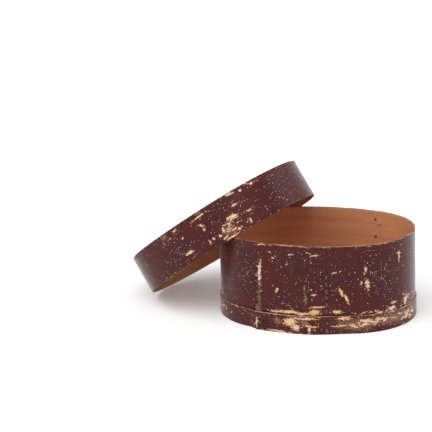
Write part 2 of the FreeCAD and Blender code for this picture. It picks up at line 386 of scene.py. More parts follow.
def lapped_bend(oval, thickness):
    """Bend of the body's board, and of the lid's rim, whose lap has the same places."""
    body = settings().body
    join = oval.join_place
    first = [(body.lap_tip, -thickness), (-join, -thickness)]
    last = [(join, -thickness), (body.lap_level, -thickness)]
    last += [(body.lap_foot, LAYER_GAP), (body.lap_end, LAYER_GAP)]
    return Bend(oval, thickness, first, last)


def hoop_bend():
    """Bend of the hoop, over the body's lap and its own tip."""
    body = settings().body
    hoop = settings().hoop
    oval = body_oval()
    join = oval.join_place
    low = body.wall + LAYER_GAP
    high = low + hoop.thickness + LAYER_GAP
    slope = (body.lap_level - body.lap_tip) / (body.lap_level - body.lap_foot)
    seat = low * slope + LAYER_GAP
    over_tip = seat + TIP_THICKNESS + LAYER_GAP
    first = [(body.lap_tip, seat), (body.lap_foot, low), (body.lap_end, low), (hoop.step, 0), (-join, 0)]
    last = [(join, 0), (hoop.lap_level, 0), (body.lap_tip, over_tip)]
    last += [(body.lap_foot, high), (hoop.lap_end, high)]
    return Bend(oval, hoop.thickness, first, last)


def lid_place():
    lid = settings().lid
    lean = Euler((lid.lean_x, lid.lean_y, lid.lean_z), "XYZ")
    return Matrix.Translation(lid.centre) @ lean.to_matrix().to_4x4()


# The lid's own lap is at its back
HALF_TURN = Matrix.Rotation(math.pi, 4, "Z")


def start_fresh():
    if bpy.context.object and bpy.context.object.mode != "OBJECT":
        bpy.ops.object.mode_set(mode="OBJECT")
    bpy.ops.object.select_all(action="DESELECT")


def only(piece):
    start_fresh()
    piece.select_set(True)
    bpy.context.view_layer.objects.active = piece


def rename(piece, name):
    piece.name = name
    piece.data.name = name


def thicken(board, depth, bevel):
    """Gives a flat filled outline its thickness, with its sharp edges rounded."""
    bpy.ops.object.mode_set(mode="EDIT")
    bpy.ops.mesh.select_all(action="SELECT")
    bpy.ops.mesh.extrude_region_move(TRANSFORM_OT_translate={"value": depth})
    bpy.ops.mesh.select_all(action="SELECT")
    bpy.ops.mesh.normals_make_consistent(inside=False)
    bpy.ops.mesh.select_all(action="DESELECT")
    bpy.ops.mesh.select_mode(type="EDGE")
    bpy.ops.mesh.edges_select_sharp(sharpness=SHARP_ANGLE)
    bpy.ops.mesh.bevel(offset=bevel, segments=2, affect="EDGES")
    bpy.ops.object.mode_set(mode="OBJECT")


def sort_faces(piece, outward):
    """Material slots by the way a face looks: outside, inside or edge."""
    for face in piece.data.polygons:
        facing = face.normal.dot(outward)
        if facing > SQUARELY:
            face.material_index = OUTSIDE
        elif facing < -SQUARELY:
            face.material_index = INSIDE
        else:
            face.material_index = EDGE


def map_grain(piece, along, across):
    """UV map in metres, along the grain and across it."""
    for layer in list(piece.data.uv_layers):
        piece.data.uv_layers.remove(layer)
    layer = piece.data.uv_layers.new(name=GRAIN_MAP)
    for loop in piece.data.loops:
        place = piece.data.vertices[loop.vertex_index].co
        layer.data[loop.index].uv = (place.dot(along), place.dot(across))


def set_down(piece, place):
    """Moves the piece in its mesh, so that its object stays at the origin, and shades it smooth."""
    piece.data.transform(place)
    piece.data.update()
    only(piece)
    bpy.ops.object.shade_smooth_by_angle(angle=SMOOTH_ANGLE)


def flat_board(name, length, height, thickness, rows):
    """Board before it is bent, with its inside on y = 0, its outside at +Y and its foot at z = 0."""
    start_fresh()
    bpy.ops.mesh.primitive_grid_add(
        x_subdivisions=round(length / COLUMN_LENGTH),
        y_subdivisions=rows,
        size=1,
        location=(length / 2, 0, height / 2),
        rotation=(math.pi / 2, 0, 0),
    )
    board = bpy.context.object
    rename(board, name)
    board.scale = (length, height, 1)
    bpy.ops.object.transform_apply(location=True, rotation=True, scale=True)
    thicken(board, (0, thickness, 0), thickness * BENT_BEVEL)
    map_grain(board, X_AXIS, Z_AXIS)
    sort_faces(board, Y_AXIS)
    return board


def oval_board(name, oval, inset, bottom, thickness, place=Matrix()):
    """Flat oval board, filled as a grid so that its faces can be shaped."""
    start_fresh()
    bpy.ops.mesh.primitive_circle_add(vertices=ROUND_POINTS, radius=1, location=(0, 0, 0))
    board = bpy.context.object
    rename(board, name)
    for vertex in board.data.vertices:
        turn = math.atan2(vertex.co.x, -vertex.co.y)
        vertex.co = oval.facing(turn, -inset) + Z_AXIS * bottom
    bpy.ops.object.mode_set(mode="EDIT")
    bpy.ops.mesh.select_all(action="SELECT")
    bpy.ops.mesh.fill_grid(span=ROUND_POINTS // 4)
    bpy.ops.object.mode_set(mode="OBJECT")
    thicken(board, (0, 0, thickness), thickness * FLAT_BEVEL)
    map_grain(board, X_AXIS, Y_AXIS)
    sort_faces(board, Z_AXIS)
    set_down(board, place)
    return board


class BoardWear:
    """Wear of a flat board in its mesh, which only ever takes wood away."""

    # Waves a metre along the board and up it, and the layer of noise that each kind of wear reads
    HOLLOWS = (9, 60, 0)
    RIPPLES = (55, 26, 4)
    RUBBING = (22, 0, 9)
    NICKS = (95, 0, 17)
    TEETH = (120, 0, 31)

    # Depth of each kind, the noise from which a nick starts, and what the inside gets of the plane's marks
    HOLLOW_DEPTH = 0.00012
    RIPPLE_DEPTH = 0.0001
    RUB_DEPTH = 0.0006
    NICK_DEPTH = 0.0044
    TOOTH_DEPTH = 0.0011
    NICK_START = 0.71
    INSIDE_SHARE = 0.6

    # How far wear reaches from a rim or an end, and how far down a worn corner draws the board
    REACH = 0.004
    CORNER_REACH = 0.02

    # Steps from one board's noise to the next one's
    SEED_STEP = Vector((7.3, 3.1, 1))

    def __init__(self, bend, height, seed, rim_up=True, corner=None):
        body = settings().body
        self.bend = bend
        self.height = height
        self.taper = body.lap_tip - body.lap_foot
        self.rim_up = rim_up
        self.corner = corner
        self.shift = self.SEED_STEP * seed

    def field(self, waves, along, up=0.0):
        """Noise from 0 to 1."""
        return 0.5 + 0.5 * noise.noise(Vector((along * waves[0], up * waves[1], waves[2])) + self.shift)

    def feather(self, place):
        """Thins the inner end towards its tip."""
        if place.x < self.taper:
            tip = TIP_THICKNESS / self.bend.thickness
            place.y *= tip + (1 - tip) * max(0.0, place.x / self.taper)

    def plane(self, place):
        """Leaves the long hollows and the small waves of a hand plane."""
        depth = self.field(self.HOLLOWS, place.x, place.z) * self.HOLLOW_DEPTH
        depth += self.field(self.RIPPLES, place.x, place.z) * self.RIPPLE_DEPTH
        if place.y > self.bend.thickness / 2:
            place.y -= depth
        else:
            place.y += depth * self.INSIDE_SHARE

    def rub_rim(self, place):
        """Rubs the rim down, with a few deeper nicks."""
        away = self.height - place.z if self.rim_up else place.z
        near = max(0.0, 1 - away / self.REACH)
        nick = max(0.0, self.field(self.NICKS, place.x) - self.NICK_START)
        drop = near * (self.field(self.RUBBING, place.x) * self.RUB_DEPTH + nick * self.NICK_DEPTH)
        place.z += -drop if self.rim_up else drop

    def wear_end(self, place):
        """Leaves the free end ragged, and its top corner worn off where a corner is given."""
        from_end = self.bend.length - place.x
        near = max(0.0, 1 - from_end / self.REACH)
        place.x -= near * self.field(self.TEETH, place.z) * self.TOOTH_DEPTH
        if self.corner and from_end < self.corner[0]:
            root = self.height - self.CORNER_REACH
            top = self.height - self.corner[1] * (1 - max(0.0, from_end) / self.corner[0])
            if place.z > root:
                place.z = root + (place.z - root) * (top - root) / self.CORNER_REACH

    def apply(self, board):
        for vertex in board.data.vertices:
            self.feather(vertex.co)
            self.plane(vertex.co)
            self.rub_rim(vertex.co)
            self.wear_end(vertex.co)


def bent_board(name, bend, sizes, seed, place=Matrix(), **wear):
    """Board modelled flat, worn, bent round its line with a curve and set down in its place."""
    board = flat_board(name, bend.length, sizes.height, bend.thickness, sizes.rows)
    BoardWear(bend, sizes.height, seed, **wear).apply(board)
    guide = bend.curve()
    only(board)
    modifier = board.modifiers.new("bend", "CURVE")
    modifier.object = guide
    modifier.deform_axis = "POS_X"
    bpy.ops.object.modifier_apply(modifier=modifier.name)
    bpy.data.objects.remove(guide)
    set_down(board, place)
    return board


def dress(piece, materials, body, slot, *nodes):
    """Gives the piece its materials, and its place on a body of the frame."""
    for material in materials:
        piece.data.materials.append(material)
    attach(piece, body)
    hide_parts(*nodes)


class Nodes:
    """Node tree that is built up call by call."""

    def __init__(self, tree):
        self.tree = tree

    def find(self, kind):
        return next(node for node in self.tree.nodes if node.type == kind)

    def node(self, kind, inputs=(), **values):
        made = self.tree.nodes.new(kind)
        for key, value in values.items():
            setattr(made, key, value)
        for key, value in dict(inputs).items():
            self.set(made.inputs[key], value)
        return made

    def set(self, socket, value):
        if isinstance(value, bpy.types.NodeSocket):
            self.tree.links.new(value, socket)
        elif socket.type == "RGBA":
            socket.default_value = (*value, 1)
        else:
            socket.default_value = value

    def math(self, operation, first, second=0.0, third=0.0):
        inputs = {0: first, 1: second, 2: third}
        return self.node("ShaderNodeMath", inputs, operation=operation).outputs[0]

    def seen(self):
        """1 for rays that look at a surface, in gloss and glass too, and 0 for rays that light it."""
        rays = self.node("ShaderNodeLightPath").outputs
        seen = self.math("MAXIMUM", rays["Is Camera Ray"], rays["Is Glossy Ray"])
        return self.math("MAXIMUM", seen, rays["Is Transmission Ray"])


class Recipe(Nodes):
    """Node tree of one finish, read from the bottom of the surface up."""

    def __init__(self, name):
        self.material = bpy.data.materials.new(name)
        self.material.use_nodes = True
        super().__init__(self.material.node_tree)
        self.shader = self.find("BSDF_PRINCIPLED")

    def grain(self):
        """Place on the board in metres, along and across the grain."""
        return self.node("ShaderNodeUVMap", uv_map=GRAIN_MAP).outputs["UV"]

    def place(self):
        return self.node("ShaderNodeTexCoord").outputs["Object"]

    def vector(self, operation, first, second=(0, 0, 0)):
        made = self.node("ShaderNodeVectorMath", {0: first, 1: second}, operation=operation)
        return made.outputs["Value" if operation == "LENGTH" else "Vector"]

    def scaled(self, vector, along, across, third=1.0):
        return self.vector("MULTIPLY", vector, (along, across, third))

    def noise(self, vector, waves, detail=4.0, roughness=0.55, distortion=0.0, output="Fac"):
        """Noise of so many waves a metre, over all or by axis."""
        if isinstance(waves, tuple):
            vector, waves = self.scaled(vector, *waves), 1
        inputs = {"Vector": vector, "Scale": waves, "Detail": detail, "Roughness": roughness}
        inputs["Distortion"] = distortion
        return self.node("ShaderNodeTexNoise", inputs).outputs[output]

    def shaken(self, vector, waves, reach):
        """The vector, moved about by up to that reach. Noise strays a quarter or so from its middle."""
        drift = self.noise(vector, waves, detail=3.0, roughness=0.5, output="Color")
        drift = self.vector("SUBTRACT", drift, (0.5, 0.5, 0.5))
        return self.vector("ADD", vector, self.vector("MULTIPLY", drift, (4 * reach, 4 * reach, 0)))

    def cells(self, vector, along, across):
        """Cells of about that length along and across the grain."""
        inputs = {"Vector": self.scaled(vector, 1 / along, 1 / across), "Scale": 1.0}
        return self.node("ShaderNodeTexVoronoi", inputs, voronoi_dimensions="2D").outputs

    def flaked(self, vector, along, across):
        """The middle of the nearest of many angular flakes of that size."""
        return self.scaled(self.cells(vector, along, across)["Position"], along, across)

    def dots(self, vector, cell, share, crowd):
        """Round specks in a share of the cells, more of them where the crowd field is over a half."""
        cells = self.cells(vector, cell, cell)
        chance = self.math("MULTIPLY_ADD", crowd, CROWDING, self.parts(cells["Color"])[0])
        radius = self.step(chance, TOP_CHANCE - share, FULL_CHANCE, 0.0, SPECK_RADIUS)
        return self.step(self.math("SUBTRACT", radius, cells["Distance"]), 0.0, SPECK_EDGE)

    def step(self, value, low, high, out_low=0.0, out_high=1.0):
        """Smooth step from out_low at low to out_high at high."""
        inputs = {"Value": value, "From Min": low, "From Max": high}
        inputs |= {"To Min": out_low, "To Max": out_high}
        return self.node("ShaderNodeMapRange", inputs, interpolation_type="SMOOTHSTEP").outputs["Result"]

    def near(self, value, place, reach, weight=1.0):
        """The weight at a place, falling to nothing at that reach from it."""
        return self.step(self.math("ABSOLUTE", self.math("SUBTRACT", value, place)), 0, reach, weight, 0)

    def mix(self, factor, first, second):
        """The first colour where the factor is 0, and the second where it is 1."""
        return self.node("ShaderNodeMix", {0: factor, 6: first, 7: second}, data_type="RGBA").outputs[2]

    def fade(self, first, second, field, low, high, share=1.0, least=0.0):
        """The first colour, with a share of the second where the field is high, the least where low."""
        return self.mix(self.step(field, low, high, least, share), first, second)

    def parts(self, vector):
        return tuple(self.node("ShaderNodeSeparateXYZ", {"Vector": vector}).outputs)

    def reach(self, vector, mark):
        """Distance from the middle of a mark, 1 at its edge."""
        inputs = {"Vector": vector, "Location": mark.middle, "Rotation": (0, 0, mark.lean)}
        inputs["Scale"] = mark.size
        made = self.node("ShaderNodeMapping", inputs, vector_type="TEXTURE", label=mark.name)
        return self.vector("LENGTH", made.outputs["Vector"])

    def inside(self, vector, marks):
        """Field that is over 0 inside the marks, 1 at their middles."""
        nearest, *others = [self.reach(vector, mark) for mark in marks]
        for reach in others:
            nearest = self.math("MINIMUM", nearest, reach)
        return self.math("SUBTRACT", 1.0, nearest)

    def finish(self, colour, roughness, height, depth, constants):
        """Links colour, roughness and a bump whose full height is a depth in metres."""
        bump = self.node("ShaderNodeBump", {"Height": height, "Distance": depth, "Strength": 1.0})
        linked = {"Base Color": colour, "Roughness": roughness, "Normal": bump.outputs["Normal"]}
        for name, value in (linked | constants).items():
            self.set(self.shader.inputs[name], value)
        return self.material


class Mark:
    """Chip, rub or worn area: its place on the board, and its length along the grain and across it."""

    def __init__(self, name, along, across, long, high, lean=0, weight=0.0):
        self.name = name
        self.middle = (along, across, 0)
        self.size = (long / 2, high / 2, 1)
        self.lean = math.radians(lean)
        self.weight = weight


def marks(at, front, back=()):
    """Marks of rows of name, place, height, length and breadth in millimetres, and maybe lean and weight."""
    made = []
    for side, rows in ((FRONT, front), (BACK, back)):
        for name, place, *sizes in rows:
            sizes[:3] = [size * MILLIMETRE for size in sizes[:3]]
            made.append(Mark(name, at(place * MILLIMETRE, side), *sizes))
    return made


# Where the paint of one piece has gone or is darker. A rim has a height, a reach and a weight, and a line of
# painted shade along a crease has the first two
Wear = namedtuple("Wear", "chips rubs areas stains grime rims speckle loss", defaults=((), (), (), 0.0, 0.0))


class Paint(Recipe):
    """Old dark paint over bare wood. It comes off in flakes, most of all in the worn areas."""

    def __init__(self, name, wear):
        super().__init__(name)
        self.wear = wear
        self.board = self.grain()
        self.across = self.parts(self.board)[1]
        self.clouds = self.noise(self.board, CLOUDS, detail=3)
        self.streaks = self.noise(self.board, STREAKS, detail=5, roughness=0.6)
        self.brush = self.noise(self.board, BRUSH_MARKS, detail=3)
        self.mottle = self.noise(self.board, MOTTLE, detail=4, roughness=0.65)
        shaken = self.shaken(self.shaken(self.board, *COARSE_SHAKE), *FINE_SHAKE)
        self.flakes = self.flaked(shaken, *FLAKE_SIZE)
        self.ragged = self.noise(self.flakes, RAGGEDNESS, detail=4, roughness=0.7)
        self.worn = 0.0
        for area in wear.areas:
            weight = self.step(self.reach(self.board, area), 0.2, 1.0, area.weight, 0)
            self.worn = self.math("ADD", self.worn, weight)

    def lost(self):
        """Where the wood is bare, and where the paint is thin round it."""
        wear = self.wear
        loss = self.noise(self.flakes, FLAKING, detail=5, roughness=0.7, distortion=0.5)
        loss = self.math("MULTIPLY_ADD", self.clouds, 0.16, loss)
        for height, reach, weight in wear.rims:
            loss = self.math("ADD", loss, self.near(self.across, height, reach, weight))
        loss = self.math("ADD", loss, self.worn)
        bare = self.step(loss, BARE_LOSS[0] - wear.loss, BARE_LOSS[1] - wear.loss)
        thin = self.step(loss, THIN_LOSS[0] - wear.loss, THIN_LOSS[1] - wear.loss)
        chipped = self.math("MULTIPLY_ADD", self.ragged, *CHIP_TEARING)
        chipped = self.math("ADD", self.inside(self.flakes, wear.chips), chipped)
        bare = self.math("MAXIMUM", bare, self.step(chipped, 0.0, 0.06))
        thin = self.math("MAXIMUM", thin, self.step(chipped, -0.22, 0.0))
        return bare, thin

    def specks(self):
        speckle = self.wear.speckle
        fine = self.dots(self.board, FINE_SPECK_CELL, speckle * 0.85, self.clouds)
        shaken = self.shaken(self.board, *SPECK_SHAKE)
        specks = self.dots(shaken, SPECK_CELL, speckle * 0.62, self.mottle)
        return self.math("MAXIMUM", self.math("MULTIPLY", fine, 0.7), specks)

    def paint(self, colours):
        """Paint that is dull in clouds, thin in streaks, dirty in spots and darker in patches, with a line
        of painted shade along a crease.
        """
        paint = self.fade(colours.paint, colours.dull, self.clouds, 0.3, 0.7, 0.9, 0.1)
        paint = self.fade(paint, colours.faded, self.streaks, 0.5, 0.85, 0.55)
        paint = self.fade(paint, colours.deep_paint_and_shade, self.mottle, 0.52, 0.8, 0.6)
        # Painted shade: a dark line along the crease where the hoop meets the body.
        for height, reach in self.wear.grime:
            paint = self.mix(self.near(self.across, height, reach, 0.85), paint, colours.deep_paint_and_shade)
        # The paint is darkened in the patches listed for each piece.
        for dark_patch in self.wear.stains:
            soiled = self.step(self.reach(self.flakes, dark_patch), 0.2, 1.3, dark_patch.weight, 0)
            soiled = self.math("MULTIPLY", soiled, self.step(self.ragged, 0.35, 0.55, 0.45, 1))
            paint = self.mix(soiled, paint, colours.deep_paint_and_shade)
        rubbed = self.math("MULTIPLY_ADD", self.ragged, *RUB_TEARING)
        rubbed = self.math("ADD", self.inside(self.board, self.wear.rubs), rubbed)
        return self.fade(paint, colours.rubbed, rubbed, 0.0, 0.5, 0.85)

    def wood(self, colours):
        """Bare wood, palest in the worn areas, with ground left in its grain and its pits."""
        pale = self.math("MULTIPLY_ADD", self.worn, 2.2, self.noise(self.board, PALE_CLOUDS, detail=2))
        pits = self.noise(self.board, PITS, detail=3, roughness=0.6)
        wood = self.fade(colours.chip, colours.chip_pale, pale, 0.62, 0.82)
        wood = self.fade(wood, colours.ground, self.streaks, 0.45, 0.8, 0.7)
        return self.fade(wood, colours.ground, pits, 0.52, 0.66, 0.75)


def painted(name, wear):
    colours = settings().colours
    recipe = Paint(name, wear)
    bare, thin = recipe.lost()
    surface = recipe.mix(recipe.math("MULTIPLY", thin, 0.85), recipe.paint(colours), colours.ground)
    surface = recipe.mix(recipe.specks(), surface, colours.speck)
    surface = recipe.mix(bare, surface, recipe.wood(colours))
    rough = recipe.step(recipe.brush, 0.3, 0.7, 0.26, 0.38)
    rough = recipe.math("MAXIMUM", rough, recipe.math("MULTIPLY", thin, 0.75))
    film = recipe.math("SUBTRACT", 1, recipe.math("MULTIPLY", recipe.math("ADD", bare, thin), 0.4))
    relief = recipe.math("MULTIPLY_ADD", recipe.brush, 0.16, film)
    relief = recipe.math("MULTIPLY_ADD", recipe.streaks, 0.3, relief)
    gloss = {"Specular IOR Level": 0.24, "Sheen Weight": 0.5, "Sheen Roughness": 0.3}
    return recipe.finish(surface, rough, relief, PAINT_RELIEF, gloss)


def bare_wood(name, knots=()):
    """Planed wood darkened by age, with fine grain along the board."""
    recipe = Recipe(name)
    light, dark = settings().colours.inside, settings().colours.inside_dark
    grain = recipe.grain()
    if knots:
        swirl = recipe.inside(grain, knots)
        lift = recipe.step(swirl, -3.0, 1.0, 0.0, 0.005)
        grain = recipe.vector("ADD", grain, recipe.node("ShaderNodeCombineXYZ", {"Y": lift}).outputs[0])
    fine = recipe.noise(grain, FINE_GRAIN, detail=5, roughness=0.6)
    broad = recipe.noise(grain, BROAD_GRAIN, detail=4, distortion=0.6)
    dark_patch = recipe.noise(grain, WOOD_STAINS, detail=4)
    pores = recipe.noise(grain, PORES, detail=2)
    colour = recipe.fade(light, dark, broad, 0.35, 0.7, 0.3575)
    colour = recipe.fade(colour, dark, fine, 0.48, 0.78, 0.4875)
    colour = recipe.fade(colour, dark, dark_patch, 0.5, 0.8, 0.35)
    if knots:
        colour = recipe.fade(colour, dark, swirl, -0.1, 0.5, 0.8)
    rough = recipe.step(fine, 0.3, 0.8, 0.5, 0.72)
    relief = recipe.math("MULTIPLY_ADD", pores, 0.4, fine)
    return recipe.finish(colour, rough, relief, WOOD_RELIEF, {"Specular IOR Level": 0.35})


def worn_edge(name, share):
    """Edge of a painted board, rubbed bare over a share of its length."""
    colours = settings().colours
    recipe = Recipe(name)
    grain = recipe.grain()
    rubbed = recipe.noise(grain, EDGE_RUBBING, detail=5, roughness=0.7)
    fine = recipe.noise(grain, EDGE_GRAIN, detail=4, roughness=0.65)
    worn = recipe.math("ADD", recipe.math("MULTIPLY_ADD", fine, 0.35, rubbed), share - 1.175)
    wood = recipe.fade(colours.edge, colours.ground, fine, 0.4, 0.62)
    colour = recipe.fade(colours.paint, colours.deep_paint_and_shade, fine, 0.45, 0.65)
    colour = recipe.fade(colour, colours.rubbed, worn, -0.06, 0.0, 0.75)
    colour = recipe.fade(colour, wood, worn, 0.0, 0.05)
    rough = recipe.step(fine, 0.3, 0.7, 0.45, 0.65)
    return recipe.finish(colour, rough, fine, FINE_RELIEF, {"Specular IOR Level": 0.28})


def lacing_finish(name, bare_height=None, bare_reach=0.0):
    """Strips of split root under old paint, worn on their crowns and bare round a height if one is given."""
    colours = settings().colours
    recipe = Recipe(name)
    place = recipe.place()
    crown = recipe.node("ShaderNodeAttribute", attribute_name=CROWN).outputs["Fac"]
    fibre = recipe.noise(place, FIBRES, detail=4)
    patches = recipe.noise(place, LACING_PATCHES, detail=5, roughness=0.65)
    worn = recipe.math("MULTIPLY_ADD", patches, 0.9, crown)
    colour = recipe.fade(colours.dull, colours.deep_paint_and_shade, fibre, 0.35, 0.7)
    colour = recipe.fade(colour, colours.lacing, worn, 0.95, 1.3)
    if bare_height:
        bare = recipe.near(recipe.parts(place)[2], bare_height, bare_reach, 1.6)
        bare = recipe.math("ADD", bare, recipe.math("MULTIPLY", patches, 1.1))
        colour = recipe.fade(colour, colours.chip_pale, bare, 1.0, 1.25)
    rough = recipe.step(worn, 0.6, 1.2, 0.6, 0.8)
    return recipe.finish(colour, rough, fibre, LACING_RELIEF, {"Specular IOR Level": 0.1})


def iron_finish(name):
    colours = settings().colours
    recipe = Recipe(name)
    place = recipe.place()
    pits = recipe.noise(place, RUST_PITS, detail=5, roughness=0.65)
    rust = recipe.noise(place, RUST_SPOTS, detail=4)
    colour = recipe.fade(colours.iron, colours.rust, rust, 0.45, 0.65)
    rough = recipe.step(pits, 0.3, 0.7, 0.45, 0.8)
    return recipe.finish(colour, rough, pits, FINE_RELIEF, {"Metallic": 0.1})


def peg_finish(name):
    """End grain of the pegs under rubbed paint."""
    colours = settings().colours
    recipe = Recipe(name)
    place = recipe.place()
    pores = recipe.noise(place, PEG_PORES, detail=4)
    worn = recipe.noise(place, PEG_WEAR, detail=4)
    colour = recipe.fade(colours.paint, colours.deep_paint_and_shade, pores, 0.4, 0.7)
    colour = recipe.fade(colour, colours.ground, worn, 0.56, 0.64)
    rough = recipe.step(pores, 0.3, 0.7, 0.45, 0.65)
    return recipe.finish(colour, rough, pores, FINE_RELIEF, {"Specular IOR Level": 0.3})


def body_wear(at):
    """Wear of the body. Leans are in degrees, clockwise as seen from outside."""
    chips = (
        ("bare strip by the end lacing", -62.5, 88, 4.6, 36, 4),
        ("spot by the lap", -46, 122, 2.6, 2.8),
        ("fleck by the lap", -41, 114, 3, 3),
        ("strip on the rim", -58, 133, 13, 1.8),
        ("flat fleck", -14, 121, 9, 2),
        ("slanted fleck", -36, 64, 2.8, 11, 20),
        ("scratch", 12, 125, 8, 2.2, 20),
        ("bow of the scratch", 21, 121, 13, 2.4, -8),
        ("short stroke", 48, 94.5, 6, 1.8, -8),
        ("next stroke", 57, 96, 5, 1.4, -8),
        ("upper scrape", 58, 64, 3.4, 14, -25),
        ("lower scrape", 66, 54, 3.2, 14, -20),
        ("small tall chip", 92, 98, 3, 8, -10),
        ("spot under it", 90, 91, 3, 3),
        ("tall chip", 94, 74, 5.6, 15, -4),
        ("spot beside it", 86, 76, 3, 5),
        ("head of the far chip", 133, 114, 9, 3),
        ("stem of the far chip", 133, 109, 3, 14),
        ("spot at the middle", 16, 69, 3, 3),
        ("fleck at the middle", 20, 61, 7, 3),
        ("thin end of the long chip", -36, 31.5, 26, 3.4),
        ("long chip", -16, 32.5, 34, 5, 2),
        ("tail of the long chip", 4, 30.5, 30, 4),
        ("block at its end", 20, 33.5, 15, 9),
        ("strokes over it", 25, 41.5, 22, 2.6, -6),
        ("chip right of the lacing", 52, 34, 13, 6),
        ("flat chip at the right", 127, 40, 9, 4),
        ("large chip at the right", 140, 38, 8, 16, 15),
    )
    back_chips = (
        ("scrape at the back", -52, 72, 3.5, 18, 22),
        ("fleck at the back", -95, 105, 12, 2.6),
        ("chip at the back", 28, 48, 13, 4, 5),
        ("spot at the back", 71, 99, 4, 5),
        ("rim chip at the back", 4, 132, 18, 4),
        ("long chip at the back", 56, 32.5, 34, 5, 2),
    )
    rubs = (
        ("foot of the end lacing", -64, 45, 7, 45),
        ("specks by the hoop", -67, 32, 16, 14),
        ("upper gouge", 6, 71, 5, 14),
        ("lower gouge", 7, 53, 7.5, 30),
    )
    areas = (
        ("hoop line at the right", 110, 31, 140, 20, 0, 0.16),
        ("right end", 144, 40, 70, 40, 0, 0.15),
        ("lap end", -64, 75, 26, 150, 0, 0.14),
        ("left end", -140, 36, 120, 30, 0, 0.14),
        ("left of the middle", -23, 100, 50, 30, 0, 0.08),
        ("under the gouge", -20, 45, 80, 30, 0, 0.08),
    )
    back_areas = (
        ("foot of the back", 20, 34, 200, 26, 0, 0.13),
        ("back", -60, 90, 80, 50, 0, 0.08),
    )
    stains = (
        # Darker paint over the lap's free end, along the gouge and along the inner lacing row.
        ("lap end", -68, 60, 14, 130, 0, 0.7),
        ("gouge", 6.5, 62, 8, 42, 0, 0.75),
        ("inner row", 38, 65, 4.4, 85, 0, 0.9),
    )
    return Wear(
        marks(at, chips, back_chips),
        marks(at, rubs),
        marks(at, areas, back_areas),
        marks(at, stains),
        # Painted shade: a dark line on the body just above the hoop's top edge, in the crease between them.
        grime=((0.0285, 0.0022),),
        rims=((0.134, 0.006, 0.12), (0.028, 0.006, 0.05)),
        speckle=0.36,
    )


def hoop_wear(at):
    """Wear of the hoop, most of all at the middle and the right of the front."""
    chips = (
        ("yellow patch", -16, 18, 19, 13),
        ("strip under the rim", 6, 24.5, 34, 4),
        ("bar of the cross", 15, 13, 18, 3, 6),
        ("stem of the cross", 13, 8, 4, 11),
        ("low flakes", -7, 10, 11, 10),
        ("foot line", -34, 2.5, 40, 2.8),
        ("long yellow chip", 62, 24.5, 20, 5.5),
        ("first wave", 58, 13, 22, 2.6),
        ("second wave", 76, 12.5, 15, 4.4, 10),
        ("third wave", 90, 13.5, 16, 3.2, -10),
        ("fourth wave", 102, 16.5, 13, 3.2, 15),
        ("fifth wave", 115, 19.5, 15, 3, 8),
        ("streak by the end", -69, 12, 3, 17),
    )
    back_chips = (
        ("chip at the back", -30, 16, 22, 5, 8),
        ("foot chip at the back", 50, 3, 40, 3),
        ("rim chip at the back", 75, 24.5, 20, 5),
    )
    rubs = (
        ("brown patch", -34, 18, 22, 15),
        ("mixed patch", 5, 18, 24, 12),
        ("far patch", 130, 17, 120, 26),
        ("patch at the right", 80, 14, 85, 26),
    )
    back_rubs = (
        ("patch at the back", 60, 16, 60, 20),
    )
    areas = (
        ("right", 105, 18, 100, 26, 0, 0.17),
        ("far right", 144, 14, 90, 40, 0, 0.17),
        ("middle", 0, 15, 70, 34, 0, 0.1),
        ("left end", -140, 14, 140, 30, 0, 0.14),
    )
    back_areas = (
        ("back", -30, 12, 120, 30, 0, 0.13),
        ("back at the right", 90, 18, 80, 30, 0, 0.14),
    )
    stains = (
        ("by the end", -56, 12, 36, 30, 0, 0.35),
        ("inner row", 38, 14, 4.4, 34, 0, 0.9),
    )
    return Wear(
        marks(at, chips, back_chips),
        marks(at, rubs, back_rubs),
        marks(at, areas, back_areas),
        marks(at, stains),
        rims=((0.028, 0.003, 0.12), (0.0, 0.003, 0.08)),
        speckle=0.4,
        loss=0.03,
    )


def lid_wear(at):
    """Wear of the lid's rim, with places towards its high end and heights from its open edge."""
    chips = (
        ("large patch", 80, 27, 17, 7.5, 5),
        ("foot of the patch", 71, 21, 6, 5),
        ("trail", 59, 17, 4, 7, 20),
        ("end of the trail", 51, 13, 4.5, 4),
        ("low trail", 57, 6, 9, 3.5, -15),
        ("chip on the edge", 68, 2, 22, 3),
        ("long streak", 37, 54, 26, 2.6, -3),
        ("slanted streak", 33, 41, 3, 10, -50),
        ("short fleck", 34, 33, 6, 3),
        ("upper chip", 92, 58.5, 13, 3.5),
        ("upper spot", 106, 56, 4, 4),
        ("far upper spot", 121, 57, 6, 4),
        ("pair of spots", 91, 41, 9, 3),
        ("oval spot", 104, 23, 7, 4),
        ("tall chip", 99, 9, 3, 9, 10),
        ("chip by the edge", 81, 7, 4, 5),
        ("large low chip", -6, 15.5, 16, 4.5, 4),
        ("left dash", -11, 56, 10, 3),
        ("left spot", -5, 40, 3, 3),
        ("right spot", 40, 14, 4.5, 4),
        ("spot beside it", 32, 12, 3, 5),
    )
    back_chips = (
        ("chip at the back", 30, 30, 18, 6, -6),
        ("edge chip at the back", -20, 3, 30, 4),
        ("top chip at the back", 80, 59, 16, 4),
    )
    rubs = (
        ("brown patch at the left", -35, 57, 20, 12),
        ("brown patch on the top edge", 38, 59, 12, 7),
        ("low brown", 67, 12, 34, 22),
    )
    areas = (
        ("left", -30, 50, 50, 30, 0, 0.13),
        ("right", 80, 15, 80, 50, 0, 0.16),
        ("high end", 120, 58, 70, 14, 0, 0.12),
        ("low end", -140, 30, 140, 50, 0, 0.12),
    )
    back_areas = (
        ("back", 30, 34, 140, 60, 0, 0.1),
    )
    return Wear(
        marks(at, chips, back_chips),
        marks(at, rubs),
        marks(at, areas, back_areas),
        rims=((0.0, 0.003, 0.1), (0.062, 0.004, 0.1)),
        speckle=0.4,
    )


